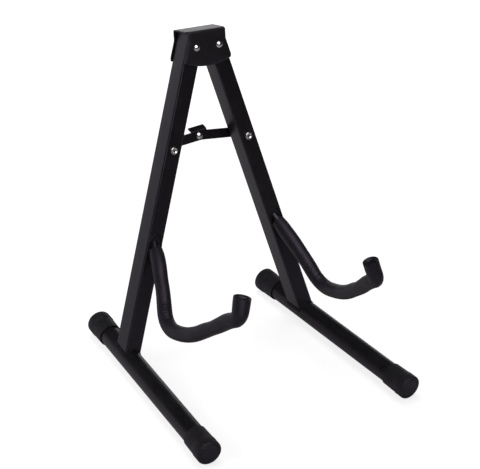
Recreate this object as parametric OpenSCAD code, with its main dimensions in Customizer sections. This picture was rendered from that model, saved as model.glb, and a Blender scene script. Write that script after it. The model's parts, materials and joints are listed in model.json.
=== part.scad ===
// Folding A-frame stand for a guitar.
// Two tube legs are riveted to a steel head, each welded to a round foot tube and to a
// bent arm that cradles the body. A two-link brace behind the legs sets their spread.
// Frame: +Z up, +Y to the back, origin on the floor under the middle of the whole stand.

/* [Frame] */
// Angle of each leg from the middle line, in the plane of the A
spread = 17.5; // [12:0.5:22]
// Backward lean of the plane of the A
lean = 14.4; // [8:0.1:20]
// Length of a leg from the head rivet to the axis of its foot
leg_len = 398; // [300:1:500]
// Width of the leg tube across the front
leg_w = 22.2; // [16:0.1:24]
// Depth of the leg tube from front to back
leg_d = 27.4; // [20:0.1:32]
// Wall of the leg tube
leg_wall = 1.2; // [0.8:0.1:2]
// Corner radius of the leg tube
leg_corner = 2.2; // [1.6:0.1:5]
// Gap between the web of the head and the leg's top corner, at full spread
top_gap = 0.5; // [0.3:0.1:4]

/* [Feet] */
// Turn of the foot and the arm about the leg, towards the middle
toe_in = 0.9; // [0:0.1:3]
// Diameter of the foot tube
foot_dia = 27.2; // [22:0.1:32]
// Wall of the foot tube
foot_wall = 1.2; // [0.8:0.1:2]
// Reach of the foot in front of the leg, cap included
foot_front = 221; // [150:1:300]
// Reach of the foot behind the leg, cap included
foot_back = 86; // [70:1:160]
// Thickness of the rubber cap round the tube, at its nose
cap_wall = 2.5; // [2:0.1:3.5]
// Whole length of the rubber cap
cap_len = 37; // [28:1:45]
// Length of the thicker nose of the cap
cap_nose = 14; // [8:1:20]
// Thickness of the cap just behind its nose
cap_neck = 2.05; // [1.7:0.05:2.4]
// Thickness of the cap at its mouth
cap_mouth = 1.55; // [1:0.05:1.8]
// Thickness of the cap's end disc
cap_end = 3; // [2:0.5:5]
// Rounding of the cap's outer edge
cap_edge = 2.6; // [1:0.1:4]
// Size of the weld bead between leg and foot
bead = 2.2; // [1.5:0.1:3]

/* [Head] */
// Distance of each head rivet from the middle
rivet_x = 16.4; // [16:0.1:20]
// Thickness of the folded sheet of the channel
sheet = 1.8; // [1:0.1:2.2]
// Gap between the legs and the channel on each side
side_gap = 0.3; // [0.2:0.05:0.6]
// Height of the top of the channel above the rivets
channel_top = 20.2; // [19:0.1:21]
// Outer bend radius of the channel
channel_bend = 2.8; // [2.4:0.1:4]
// Half width of the head above its flare
head_half = 27.2; // [24:0.1:32]
// Height above the rivets where the flare starts
flare_top = 6.3; // [3:0.1:10]
// Height below the rivets where the flare ends
flare_end = 14; // [10:0.5:18]
// Half width of the head where the flare ends
flare_half = 33.8; // [30:0.1:38]
// Depth of the bottom edge below the rivets, at the middle
head_drop = 24.8; // [20:0.1:30]
// Radius of the curved bottom edge
drop_radius = 85; // [60:1:200]
// How far the back plate spreads past the cover on each side
back_extra = 0.9; // [0:0.1:3]
// How far the channel's front flange lies inside the cover's outline
front_inset = 5; // [1:0.1:7]
// How far the cover stands above the channel
cover_rise = 0.2; // [0:0.1:3]
// Depth of the pressed cover from front to back
cover_depth = 3.4; // [3:0.1:6]
// Thickness of the cover's sheet
cover_sheet = 1.4; // [0.8:0.1:2]
// Rounding of the cover's front edge
cover_round = 2.4; // [1:0.1:2.8]

/* [Rivets] */
// Diameter of the head rivet's shank
head_pin = 6; // [4:0.5:7]
// Diameter of the head rivet's dome
head_dome = 9.2; // [8:0.1:11]
// Height of the domes
dome_h = 2.6; // [1.5:0.1:3.4]
// Height of the formed tails at the back
tail_h = 2; // [1:0.1:2.4]
// Diameter of the brace rivets' shanks
brace_pin = 5; // [4:0.5:6]
// Diameter of the brace rivets' heads
brace_dome = 9.8; // [8:0.1:10.4]
// Radial clearance of a turning or passing pin
pin_gap = 0.05; // [0.02:0.01:0.1]

/* [Brace] */
// Distance of the brace rivet below the head rivet, along the leg
brace_drop = 130; // [100:0.5:170]
// Height of the middle hinge above the line through the leg rivets
brace_rise = 5; // [3:0.1:8]
// Width of the links
link_w = 12.4; // [10:0.1:14]
// Thickness of the links
link_t = 2; // [1.5:0.1:2.5]
// Running gap between the layers of the brace
layer_gap = 0.2; // [0.1:0.05:0.4]
// Thickness of the washer behind the left leg
washer_t = 0.6; // [0.4:0.1:1]
// Width of the stop tab along the link
tab_w = 22.5; // [16:0.5:28]
// Length of the stop tab past its bend
tab_len = 6.8; // [6:0.1:12]
// Rise of the stop tab from level
tab_angle = 24; // [10:1:40]
// Inner bend radius of the stop tab
tab_bend = 0.8; // [0.5:0.1:1.5]
// Clearance at the pivot where the linkage is open
open_gap = 0.3; // [0.2:0.05:0.5]

/* [Arms] */
// Diameter of the steel rod
rod_dia = 10; // [8:0.5:12]
// Diameter of the soft sleeve
sleeve_dia = 19; // [16:0.1:20]
// Height of the rod's root above the foot axis, along the leg
arm_root = 145; // [120:0.5:170]
// Angle of the first run below square to the leg
drop_angle = 51.5; // [40:0.5:60]
// Length of the first run
drop_run = 48.5; // [30:1:70]
// Extra downward bend at the end of the first run
kick_angle = 9; // [1:0.5:15]
// Radius of that bend
kick_radius = 120; // [60:1:200]
// Length of the run down to the low bend
low_run = 20; // [10:0.2:40]
// Radius of the low bend
low_radius = 33; // [24:0.5:50]
// Radius of the cradle
cradle_radius = 112; // [80:1:160]
// Angle of the rising run
rise_angle = 29; // [20:1:40]
// Length of the rising run
rise_run = 69.5; // [50:1:90]
// Radius of the elbow
elbow_radius = 11; // [10.4:0.1:20]
// Length of the upstand past the elbow
tip_run = 17; // [12:0.5:35]
// How far the sleeve stands past the end of the rod
sleeve_lip = 3; // [1:0.5:6]
// Thickness of the weld at the rod's root
root_weld = 1.2; // [0.8:0.1:2]
// How far the root weld stands out round the sleeve
weld_show = 0.9; // [0.4:0.1:1.5]

/* [Hidden] */
$fn = 64;

left = -1;
right = 1;
// Sides of the bent rods, and the most that one step of a bend turns
sides = 20;
bend_step = 8;
// A length that is surely longer than anything it cuts
far = 200;

// The foot lies level when it leaves the leg at this angle from square
foot_angle = atan((sin(lean) * cos(toe_in) - sin(spread) * cos(lean) * sin(toe_in))
    / (cos(spread) * cos(lean)));
// Sine and cosine of the angle at which a foot points outwards on the floor
toe_sin = sin(foot_angle) * sin(spread) - cos(foot_angle) * cos(spread) * sin(toe_in);
toe_cos = sqrt(1 - toe_sin * toe_sin);
foot_r = foot_dia / 2;
cap_r = foot_r + cap_wall;

// The leg's top corner stops under the web
leg_top = (channel_top - sheet - top_gap - leg_w / 2 * sin(spread)) / cos(spread);
cover_top = channel_top + cover_rise;

// Depths in the plane of the A, measured from the legs' middle plane
leg_half = leg_d / 2;
channel_in = leg_half + side_gap;
channel_out = channel_in + sheet;
cover_face = channel_out + cover_depth;
link_a = leg_half + washer_t + layer_gap / 2;
link_b = link_a + link_t + layer_gap;
spacer_t = link_b - leg_half - open_gap;

// The stand's box is centred front to back
front_reach = (foot_front - cap_edge) * toe_cos + (cap_r - cap_edge) * toe_sin + cap_edge;
back_corner = cos(lean) * (channel_out - channel_bend) + sin(lean) * (channel_top - channel_bend);
back_reach = leg_len * cos(spread) * sin(lean) + back_corner + channel_bend;
foot_y = (front_reach - back_reach) / 2;
head_y = foot_y + leg_len * cos(spread) * sin(lean);
head_z = cap_r + leg_len * cos(spread) * cos(lean);

// The brace, in the plane of the A
brace_x = rivet_x + brace_drop * sin(spread);
brace_z = -brace_drop * cos(spread);
link_len = sqrt(brace_x * brace_x + brace_rise * brace_rise);
link_angle = asin(brace_rise / link_len);
hinge_z = brace_z + brace_rise;
link_half = link_w / 2;
pin_r = brace_pin / 2;
pin_hole = pin_r + pin_gap;
head_pin_r = head_pin / 2;
head_hole = head_pin_r + pin_gap;

steel = [0.10, 0.10, 0.11];
dark_steel = [0.14, 0.14, 0.15];
rubber = [0.07, 0.07, 0.075];
foam = [0.12, 0.12, 0.125];
nickel = [0.80, 0.80, 0.78];

// Places
module at_head() {
    translate([0, head_y, head_z]) rotate([-lean, 0, 0]) children();
}

module at_leg(side) {
    at_head() translate([side * rivet_x, 0, 0]) rotate([0, -side * spread, 0]) children();
}

// The leg's foot point, with -Y the way that the foot and the arm point
module at_toe(side) {
    at_leg(side) translate([0, 0, -leg_len]) rotate([0, 0, -side * toe_in]) children();
}

// +Z runs forward along the foot, from under the leg
module at_foot(side) {
    at_toe(side) rotate([90 + foot_angle, 0, 0]) children();
}

// +X runs from the leg rivet to the hinge, the other way round for the right link
module at_hinge(side) {
    at_head() translate([0, 0, hinge_z]) rotate([0, side * link_angle, 0]) children();
}

// +Z points to the front, from a point of the plane of the A
module facing_front(depth) {
    translate([0, -depth, 0]) rotate([90, 0, 0]) children();
}

// +Z points to the back
module facing_back(depth) {
    translate([0, depth, 0]) rotate([-90, 0, 0]) children();
}

// Shapes that repeat
module rounded_square(w, d, r) {
    square([w - 2 * r, d], center = true);
    square([w, d - 2 * r], center = true);
    for (x = [-1, 1], y = [-1, 1])
        translate([x * (w / 2 - r), y * (d / 2 - r)]) circle(r = r);
}

// A domed head on z = 0
module dome(dia, h) {
    ball = (dia * dia / 4 + h * h) / (2 * h);
    rotate_extrude() intersection() {
        translate([0, h - ball]) circle(r = ball);
        square([dia / 2, h]);
    }
}

module shank(r, from, to) {
    translate([0, 0, from]) cylinder(h = to - from, r = r);
}

// A rod's section, or a tube's when inner is over 0
module section(outer, inner) {
    difference() {
        circle(r = outer);
        if (inner > 0) circle(r = inner);
    }
}

// A walk in a plane: each station is [x, y, heading], each move [run] or [radius, turn]
function stations(from, moves, i = 0) =
    i == len(moves) ? [] :
    let (part = len(moves[i]) == 1 ? one_run(from, moves[i][0]) : one_bend(from, moves[i]))
    concat(part, stations(part[len(part) - 1], moves, i + 1));

function one_run(p, length) =
    [[p.x + length * cos(p.z), p.y + length * sin(p.z), p.z]];

function one_bend(p, move) =
    let (
        turn = move[1],
        arm = move[0] * sign(turn),
        steps = ceil(abs(turn) / bend_step)
    )
    [for (k = [1 : steps]) let (to = p.z + turn * k / steps)
        [p.x + arm * (sin(to) - sin(p.z)), p.y + arm * (cos(p.z) - cos(to)), to]];

// The points of a ring square to the walk
function ring(p, r) =
    [for (k = [0 : sides - 1]) let (a = 360 * k / sides)
        [p.x - r * cos(a) * sin(p.z), p.y + r * cos(a) * cos(p.z), r * sin(a)]];

// The same ring slid along the walk on to the plane x = at + slope * z
function cut_ring(p, r, at, slope) =
    [for (q = ring(p, r)) let (x = at + slope * q.z) [x, q.y + (x - q.x) * tan(p.z), q.z]];

// Two triangles for each side of the strip between rings a and b
function strip(a, b) =
    [for (k = [0 : sides - 1]) let (n = (k + 1) % sides)
        each [[a + k, b + k, b + n], [a + k, b + n, a + n]]];

// A rod along the walk, its start cut on the plane x = at + slope * z
module swept_rod(walk, r, at, slope) {
    count = len(walk);
    polyhedron(
        points = concat(
            cut_ring(walk[0], r, at, slope), [for (i = [1 : count - 1]) each ring(walk[i], r)]
        ),
        faces = concat(
            [for (i = [0 : count - 2]) each strip(i * sides, (i + 1) * sides)],
            [[for (k = [0 : sides - 1]) k]],
            [[for (k = [1 : sides]) count * sides - k]]
        ),
        convexity = 8
    );
}

// A tube along the walk, its start cut on the plane x = at + slope * z
module swept_tube(walk, outer, inner, at, slope) {
    count = len(walk);
    last = (count - 1) * sides;
    hole = count * sides;
    polyhedron(
        points = concat(
            cut_ring(walk[0], outer, at, slope),
            [for (i = [1 : count - 1]) each ring(walk[i], outer)],
            cut_ring(walk[0], inner, at, slope),
            [for (i = [1 : count - 1]) each ring(walk[i], inner)]
        ),
        faces = concat(
            [for (i = [0 : count - 2]) each strip(i * sides, (i + 1) * sides)],
            [for (i = [0 : count - 2]) each strip(hole + (i + 1) * sides, hole + i * sides)],
            strip(hole, 0),
            strip(last, hole + last)
        ),
        convexity = 8
    );
}

// Head
// Outline of the head plates: x across, y up from the rivets
module head_outline(top, grow) {
    intersection() {
        polygon([
            [-head_half - grow, top], [head_half + grow, top],
            [head_half + grow, flare_top], [flare_half + grow, -flare_end],
            [flare_half + grow, -far], [-flare_half - grow, -far],
            [-flare_half - grow, -flare_end], [-head_half - grow, flare_top]
        ]);
        translate([0, drop_radius - head_drop - grow]) circle(r = drop_radius, $fn = 128);
    }
}

module pivot_holes() {
    for (x = [-1, 1]) translate([x * rivet_x, 0, 0])
        facing_front(0) cylinder(h = far, r = head_hole, center = true);
}

module head_channel() {
    color(steel) at_head() difference() {
        intersection() {
            rotate([90, 0, 90]) linear_extrude(height = far, center = true) difference() {
                channel_profile(channel_out, channel_top, channel_bend);
                channel_profile(channel_in, channel_top - sheet, channel_bend - sheet);
            }
            union() {
                facing_back(channel_bend - channel_out) mirror([0, 1, 0])
                    linear_extrude(height = far) head_outline(channel_top, back_extra);
                facing_front(channel_out - channel_bend)
                    linear_extrude(height = far) head_outline(channel_top, -front_inset);
            }
        }
        pivot_holes();
    }
}

// Section of the folded channel: x to the back, y up
module channel_profile(half, top, r) {
    translate([-half, -far]) square([2 * half, far + top - r]);
    translate([r - half, -far]) square([2 * (half - r), far + top]);
    for (x = [-1, 1]) translate([x * (half - r), top - r]) circle(r = r);
}

module head_cover() {
    color(dark_steel) at_head() difference() {
        facing_front(channel_out) difference() {
            intersection() {
                minkowski() {
                    linear_extrude(height = cover_depth - cover_round)
                        head_outline(cover_top - cover_round, -cover_round);
                    sphere(r = cover_round, $fn = 24);
                }
                translate([0, 0, far / 2]) cube(far, center = true);
            }
            translate([0, 0, -1]) linear_extrude(height = 1 + cover_depth - cover_sheet)
                head_outline(cover_top - cover_sheet, -cover_sheet);
        }
        pivot_holes();
    }
}

module head_rivet(side) {
    color(nickel) at_head() translate([side * rivet_x, 0, 0]) {
        facing_front(cover_face) dome(head_dome, dome_h);
        facing_front(0) shank(head_pin_r, -channel_out - tail_h / 2, cover_face + dome_h / 2);
        facing_back(channel_out) dome(head_dome, tail_h);
    }
}

// Legs and feet
module leg(side) {
    color(steel) at_leg(side) difference() {
        translate([0, 0, -leg_len]) linear_extrude(height = leg_len + leg_top) difference() {
            rounded_square(leg_w, leg_d, leg_corner);
            rounded_square(leg_w - 2 * leg_wall, leg_d - 2 * leg_wall, leg_corner - leg_wall);
        }
        facing_front(0) cylinder(h = far, r = head_hole, center = true);
        translate([0, 0, -brace_drop]) facing_front(0)
            cylinder(h = far, r = pin_hole, center = true);
        translate([0, 0, -leg_len]) rotate([0, 0, -side * toe_in])
            rotate([90 + foot_angle, 0, 0])
            cylinder(h = far, r = foot_r + pin_gap, center = true);
    }
}

module foot_tube(side) {
    color(steel) at_foot(side) translate([0, 0, cap_end - foot_back])
        linear_extrude(height = foot_front + foot_back - 2 * cap_end)
        section(foot_r, foot_r - foot_wall);
}

// The bead follows the seam where the leg's tube meets the round foot
module foot_weld(side) {
    color(dark_steel) difference() {
        intersection() {
            at_foot(side) linear_extrude(height = 3 * foot_dia, center = true) intersection() {
                section(foot_r + bead, foot_r);
                translate([-foot_dia, 0]) square([2 * foot_dia, foot_dia]);
            }
            at_leg(side) translate([0, 0, -leg_len - foot_dia])
                linear_extrude(height = 3 * foot_dia)
                rounded_square(leg_w + 2 * bead, leg_d + 2 * bead, leg_corner + bead);
        }
        at_leg(side) translate([0, 0, -leg_len - 2 * foot_dia])
            linear_extrude(height = 5 * foot_dia)
            rounded_square(leg_w, leg_d, leg_corner);
    }
}

// The cap's disc lies on z = 0 and its mouth points down
module cap() {
    nose_r = cap_r - cap_edge;
    difference() {
        union() {
            rotate_extrude() {
                translate([0, -cap_nose]) square([nose_r, cap_nose]);
                translate([0, -cap_nose]) square([cap_r, cap_nose - cap_edge]);
                intersection() {
                    translate([nose_r, -cap_edge]) circle(r = cap_edge);
                    translate([0, -cap_nose]) square([cap_r, cap_nose]);
                }
            }
            translate([0, 0, -cap_len]) cylinder(
                h = cap_len - cap_edge, r1 = foot_r + cap_mouth, r2 = foot_r + cap_neck
            );
        }
        translate([0, 0, -cap_len - 1])
            cylinder(h = cap_len + 1 - cap_end, r = foot_r + pin_gap);
    }
}

module cap_front(side) {
    color(rubber) at_foot(side) translate([0, 0, foot_front]) cap();
}

module cap_back(side) {
    color(rubber) at_foot(side) translate([0, 0, -foot_back]) rotate([180, 0, 0]) cap();
}

// Arms
// x forward from the middle of the leg, y up from the foot axis, both in the leg's plane
function arm_walk(more) =
    let (from = [leg_half, arm_root, -drop_angle])
    concat([from], stations(from, [
        [drop_run],
        [kick_radius, -kick_angle],
        [low_run],
        [low_radius, drop_angle + kick_angle],
        [cradle_radius, rise_angle],
        [rise_run],
        [elbow_radius, 90 - rise_angle],
        [tip_run + more]
    ]));

// The plane that the arm bends in, with x to the front and y up the leg
module in_arm_plane(side) {
    at_toe(side) rotate([90, 0, -90]) children();
}

module arm_rod(side) {
    color(steel) in_arm_plane(side)
        swept_rod(arm_walk(0), rod_dia / 2, leg_half / cos(toe_in), side * tan(toe_in));
}

// A seam of weld between the leg's face and the sleeve, round the rod
module arm_weld(side) {
    color(dark_steel) in_arm_plane(side) intersection() {
        translate([leg_half, arm_root]) rotate([0, 90, -drop_angle]) difference() {
            cylinder(h = 4 * sleeve_dia, r = sleeve_dia / 2 + weld_show, center = true);
            cylinder(h = 4 * sleeve_dia, r = rod_dia / 2 + pin_gap, center = true);
        }
        rotate([0, side * toe_in, 0])
            translate([leg_half, 0, -far / 2]) cube([root_weld, far + arm_root, far]);
    }
}

module arm_sleeve(side) {
    color(foam) in_arm_plane(side) swept_tube(
        arm_walk(sleeve_lip), sleeve_dia / 2, rod_dia / 2 + pin_gap,
        (leg_half + root_weld) / cos(toe_in), side * tan(toe_in)
    );
}

// Brace
module link(depth) {
    facing_front(-depth) translate([0, 0, -link_t]) linear_extrude(height = link_t)
        difference() {
            union() {
                translate([0, -link_half]) square([link_len, link_w]);
                for (x = [0, link_len]) translate([x, 0]) circle(r = link_half);
            }
            for (x = [0, link_len]) translate([x, 0]) circle(r = pin_hole);
        }
}

// Points of an arc round a centre
function arc(centre, r, from, to, steps = 6) =
    [for (k = [0 : steps]) let (a = from + (to - from) * k / steps)
        [centre.x + r * cos(a), centre.y + r * sin(a)]];

// The stop tab's section: x to the back from the link's back face, y up from its middle
module tab_profile() {
    outer = tab_bend + link_t;
    centre = [tab_bend, link_half - tab_bend / 2];
    along = [cos(tab_angle), sin(tab_angle)];
    square_to = [-sin(tab_angle), cos(tab_angle)];
    polygon(concat(
        [[0, 0], [-link_t, 0]],
        arc(centre, outer, 180, 90 + tab_angle),
        [centre + outer * square_to + tab_len * along],
        [centre + tab_bend * square_to + tab_len * along],
        arc(centre, tab_bend, 90 + tab_angle, 180)
    ));
}

module brace_link_left() {
    color(steel) at_hinge(left) difference() {
        union() {
            mirror([1, 0, 0]) link(link_a);
            translate([0, link_a + link_t, 0]) rotate([90, 0, 90])
                linear_extrude(height = tab_w, center = true) tab_profile();
        }
        facing_back(link_a - 1) cylinder(h = link_t + 2, r = pin_hole);
    }
}

module brace_link_right() {
    color(steel) at_hinge(right) link(link_b);
}

// Tube rivet through a leg, rolled over at the front
module leg_rivet(depth) {
    ring_r = brace_dome / 2;
    roll = 1.1;
    facing_front(leg_half) rotate_extrude() difference() {
        union() {
            square([ring_r - roll, 2 * roll]);
            translate([ring_r - roll, roll]) circle(r = roll);
            square([ring_r, roll]);
        }
        translate([0, roll]) square([pin_r, 2 * roll]);
    }
    facing_front(0) shank(pin_r, -depth, leg_half + roll / 2);
}

module at_brace_rivet(side) {
    at_leg(side) translate([0, 0, -brace_drop]) children();
}

module brace_rivet_left() {
    tail_at = link_a + link_t + layer_gap / 2;
    color(nickel) at_brace_rivet(left) {
        leg_rivet(tail_at + tail_h / 2);
        facing_back(tail_at) dome(brace_dome, tail_h);
    }
}

module brace_rivet_right() {
    color(nickel) at_brace_rivet(right) leg_rivet(leg_half + spacer_t);
}

module brace_hinge_rivet() {
    tail_at = link_b + link_t + layer_gap / 2;
    color(nickel) at_hinge(left) {
        facing_front(-link_a) dome(brace_dome, dome_h);
        facing_back(0) shank(pin_r, link_a - dome_h / 2, tail_at + tail_h / 2);
        facing_back(tail_at) dome(brace_dome, tail_h);
    }
}

module washer(thickness) {
    facing_back(leg_half) linear_extrude(height = thickness) section(link_half, pin_hole);
}

module brace_washer() {
    color(nickel) at_brace_rivet(left) washer(washer_t);
}

module brace_spacer() {
    color(nickel) at_brace_rivet(right) washer(spacer_t);
}

module brace_rivet_tail() {
    color(nickel) at_hinge(right) translate([link_len, 0, 0]) {
        facing_back(0) shank(pin_r, link_b, link_b + link_t + tail_h / 2);
        facing_back(link_b + link_t) dome(brace_dome, tail_h);
    }
}

head_channel();
head_cover();
head_rivet(left);  // head_rivet_left
head_rivet(right);  // head_rivet_right
leg(left);  // leg_left
leg(right);  // leg_right
foot_tube(left);  // foot_tube_left
foot_tube(right);  // foot_tube_right
foot_weld(left);  // foot_weld_left
foot_weld(right);  // foot_weld_right
cap_front(left);  // cap_front_left
cap_front(right);  // cap_front_right
cap_back(left);  // cap_back_left
cap_back(right);  // cap_back_right
arm_rod(left);  // arm_rod_left
arm_rod(right);  // arm_rod_right
arm_weld(left);  // arm_weld_left
arm_weld(right);  // arm_weld_right
arm_sleeve(left);  // arm_sleeve_left
arm_sleeve(right);  // arm_sleeve_right
brace_link_left();
brace_link_right();
brace_rivet_left();
brace_rivet_right();
brace_hinge_rivet();
brace_washer();
brace_spacer();
brace_rivet_tail();
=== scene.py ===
# %% [markdown]
# # A folding guitar stand, dressed in Blender
#
# The imported CAD model is the frame: every tube, link and rivet already has its true size and
# place. This script gives each of them a finish, and models what CAD keeps plain: the foam
# sleeves with their wrinkles, the moulded rubber caps, the rippled welds and the rolled rivets.

# %% Load the frame
import json
import math

import bpy
from mathutils import Matrix, Vector, noise

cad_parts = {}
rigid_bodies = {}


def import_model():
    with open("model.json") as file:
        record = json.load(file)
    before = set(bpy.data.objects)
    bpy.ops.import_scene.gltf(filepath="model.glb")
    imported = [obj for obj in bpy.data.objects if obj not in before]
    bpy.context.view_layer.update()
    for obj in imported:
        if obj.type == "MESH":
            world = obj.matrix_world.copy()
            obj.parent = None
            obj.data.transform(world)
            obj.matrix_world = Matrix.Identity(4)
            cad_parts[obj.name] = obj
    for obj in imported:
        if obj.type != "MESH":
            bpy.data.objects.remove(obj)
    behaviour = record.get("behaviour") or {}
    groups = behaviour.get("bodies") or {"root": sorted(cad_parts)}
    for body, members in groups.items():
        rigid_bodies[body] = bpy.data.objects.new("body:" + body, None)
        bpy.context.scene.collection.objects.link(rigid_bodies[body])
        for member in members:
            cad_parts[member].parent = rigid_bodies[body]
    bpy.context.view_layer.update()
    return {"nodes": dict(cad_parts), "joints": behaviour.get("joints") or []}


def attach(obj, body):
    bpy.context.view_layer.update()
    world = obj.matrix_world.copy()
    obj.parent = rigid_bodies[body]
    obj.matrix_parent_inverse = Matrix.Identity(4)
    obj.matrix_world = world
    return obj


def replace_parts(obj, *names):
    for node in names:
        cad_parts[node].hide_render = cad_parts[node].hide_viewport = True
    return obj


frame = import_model()
nodes = frame["nodes"]
joints = {j["name"]: j for j in frame["joints"]}

# %% [markdown]
# ## Places on the stand
#
# The two legs turn on head rivets that share one direction, square to the leaning plane of
# the A. All places below are worked out from those joints, so that a piece modelled here
# sits where the CAD part is. `leg_frame` has +Z up the leg and +Y to the back.

# %% Frames of the head, legs, feet and hinge
MM = 0.001
LEFT, RIGHT = -1, 1
NAMES = {LEFT: "left", RIGHT: "right"}
CAP_RADIUS = 16.1 * MM
LEG_WIDTH, LEG_DEPTH, LEG_CORNER = 22.2 * MM, 27.4 * MM, 2.2 * MM
LEG_HALF = LEG_DEPTH / 2
SPREAD, TOE_IN = math.radians(17.5), math.radians(0.9)

pivot = Vector(joints["left_leg_fold"]["pos_m"])
hinge = Vector(joints["right_link_turn"]["pos_m"])
to_front = Vector(joints["left_leg_fold"]["axis"]).normalized()
lean = math.atan2(to_front.z, -to_front.y)
head_frame = Matrix.Translation((0, pivot.y, pivot.z)) @ Matrix.Rotation(-lean, 4, "X")
leg_len = (pivot.z - CAP_RADIUS) / (math.cos(SPREAD) * math.cos(lean))
foot_angle = math.atan(
    math.tan(lean) * math.cos(TOE_IN) / math.cos(SPREAD) - math.tan(SPREAD) * math.sin(TOE_IN)
)


def leg_frame(side):
    return (
        head_frame
        @ Matrix.Translation((side * abs(pivot.x), 0, 0))
        @ Matrix.Rotation(-side * SPREAD, 4, "Y")
    )


def toe_frame(side):
    """The leg's foot point, with -Y the way that the foot and the arm point."""
    return (
        leg_frame(side)
        @ Matrix.Translation((0, 0, -leg_len))
        @ Matrix.Rotation(-side * TOE_IN, 4, "Z")
    )


def foot_frame(side):
    """+Z runs forward along the foot, from under the leg."""
    return toe_frame(side) @ Matrix.Rotation(math.pi / 2 + foot_angle, 4, "X")


print(f"lean {math.degrees(lean):.2f}, leg {leg_len:.4f}, foot {math.degrees(foot_angle):.2f}")

# %% [markdown]
# ## The camera
#
# The place and lens were solved from the photograph: the ends of the feet, the rivets and
# the corners of the head fix a pin-hole camera about two metres away, turned a little
# about its own line of sight.

# %% Camera
CAMERA_PLACE = Vector((-0.9690, -1.3212, 1.0911))
CAMERA_YAW = math.radians(35.767)
CAMERA_PITCH = math.radians(-28.902)
CAMERA_ROLL = math.radians(5.593)
SENSOR = 36.0
FOCAL_PIXELS, FRAME_WIDTH = 1512.8, 480

sight = Vector((
    math.sin(CAMERA_YAW) * math.cos(CAMERA_PITCH),
    math.cos(CAMERA_YAW) * math.cos(CAMERA_PITCH),
    math.sin(CAMERA_PITCH),
))
level = Vector((math.cos(CAMERA_YAW), -math.sin(CAMERA_YAW), 0))
upright = level.cross(sight)
cam_right = math.cos(CAMERA_ROLL) * level + math.sin(CAMERA_ROLL) * upright
cam_up = math.cos(CAMERA_ROLL) * upright - math.sin(CAMERA_ROLL) * level
camera = bpy.data.objects.new("camera", bpy.data.cameras.new("camera"))
bpy.context.scene.collection.objects.link(camera)
turn = Matrix((cam_right, cam_up, -sight)).transposed().to_4x4()
camera.matrix_world = Matrix.Translation(CAMERA_PLACE) @ turn
camera.data.sensor_width = SENSOR
camera.data.lens = FOCAL_PIXELS * SENSOR / FRAME_WIDTH
camera.data.clip_end = 50
bpy.context.scene.camera = camera
bpy.context.scene.view_settings.view_transform = "Standard"

# %% [markdown]
# ## Shader sums as plain expressions
#
# A material is easier to read as an expression than as a list of links. `Wire` wraps a
# socket, and adding or multiplying wires adds the Math nodes.


# %% Wires
class Wire:
    """A socket of a node tree that can stand in a sum."""

    def __init__(self, tree, socket):
        self.tree, self.socket = tree, socket

    def join(self, operation, *values):
        return add_node(self.tree, "ShaderNodeMath", {"operation": operation}, *values)

    def __add__(self, other):
        return self.join("ADD", self, other)

    def __sub__(self, other):
        return self.join("SUBTRACT", self, other)

    def __rsub__(self, other):
        return self.join("SUBTRACT", other, self)

    def __mul__(self, other):
        return self.join("MULTIPLY", self, other)

    __radd__, __rmul__ = __add__, __mul__


def plug(tree, socket, value):
    if isinstance(value, Wire):
        tree.links.new(value.socket, socket)
    else:
        socket.default_value = value


def add_node(tree, kind, settings=None, *values, **named):
    """Adds a node, sets it up, then fills its inputs by place or by name."""
    node = tree.nodes.new(kind)
    for key, value in (settings or {}).items():
        setattr(node, key, value)
    for socket, value in zip(node.inputs, values):
        plug(tree, socket, value)
    for key, value in named.items():
        plug(tree, node.inputs[key.replace("_", " ")], value)
    return Wire(tree, node.outputs[0])


def ramp(tree, value, stops):
    """A ColorRamp of grey levels or colours over a value."""
    node = tree.nodes.new("ShaderNodeValToRGB")
    elements = node.color_ramp.elements
    while len(elements) < len(stops):
        elements.new(0.5)
    for element, (at, colour) in zip(elements, stops):
        element.position = at
        element.color = (*colour, 1)
    plug(tree, node.inputs[0], value)
    return Wire(tree, node.outputs[0])


# The dark finishes mirror the room with a faint violet cast, as in the photograph
VIOLET = (0.88, 0.71, 1.0, 1.0)


def new_material(name, **fixed):
    """A Principled material with its fixed sockets set."""
    material = bpy.data.materials.new(name)
    material.use_nodes = True
    shader = material.node_tree.nodes["Principled BSDF"]
    for key, value in fixed.items():
        shader.inputs[key.replace("_", " ")].default_value = value
    return material, material.node_tree, shader


def object_place(tree, scale=(1, 1, 1)):
    place = Wire(tree, tree.nodes.new("ShaderNodeTexCoord").outputs["Object"])
    return add_node(tree, "ShaderNodeMapping", None, place, Scale=scale)


def speckle(tree, place, size, detail=3.0, roughness=0.55):
    """Noise with features of about this size in metres, from 0 to 1."""
    return add_node(
        tree, "ShaderNodeTexNoise", None,
        Vector=place, Scale=1 / size, Detail=detail, Roughness=roughness,
    )


def bump(tree, shader, height, distance, strength=1.0):
    node = tree.nodes.new("ShaderNodeBump")
    node.inputs["Distance"].default_value = distance
    node.inputs["Strength"].default_value = strength
    plug(tree, node.inputs["Height"], height)
    tree.links.new(node.outputs["Normal"], shader.inputs["Normal"])


# %% [markdown]
# ## Powder coat
#
# The tubes, links and head are coated with satin black powder. Up close it is not flat: the
# powder melts into a fine orange peel, with finer grit on top, and the gloss wanders a
# little. Base colour stays nearly black, because the photograph's lighter faces are
# reflections of the white room.


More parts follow.
